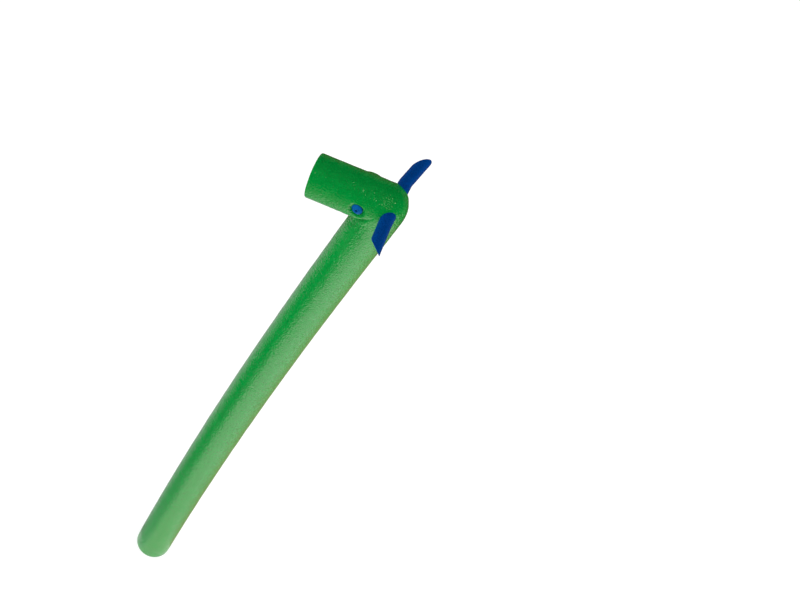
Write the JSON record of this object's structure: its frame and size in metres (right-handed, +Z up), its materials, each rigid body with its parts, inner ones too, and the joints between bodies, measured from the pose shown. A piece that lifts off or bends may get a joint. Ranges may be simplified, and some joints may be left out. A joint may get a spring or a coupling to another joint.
{
  "type": "pool noodle",
  "caption": "Foam pool noodle folded over at the top into an animal's head, with a crosswise foam rod for ears and a press stud for eyes.",
  "frame": {"origin": "centre of the flat tail end that the noodle stands on", "axes": "+Z up the body from the tail, +X the way the snout points, +Y to the animal's left"},
  "size_m": [0.154, 0.193, 1.5162],
  "materials": {
    "green_foam": "matte",
    "navy_foam": "matte",
    "blue_plastic": "satin"
  },
  "bodies": {
    "noodle": {"noodle_foam": "green_foam"},
    "ears": {"ear_rod": "navy_foam"},
    "eyes": {"eye_left": "blue_plastic", "eye_right": "blue_plastic"}
  },
  "joints": [
    {"name": "ear_turn", "type": "hinge", "parent": "noodle", "child": "ears", "pos_m": [-0.05604, 0, 1.4951], "axis": [0, 1, 0], "continuous": true},
    {"name": "eye_turn", "type": "hinge", "parent": "noodle", "child": "eyes", "pos_m": [-0.01074, 0, 1.4837], "axis": [0, 1, 0], "continuous": true}
  ]
}
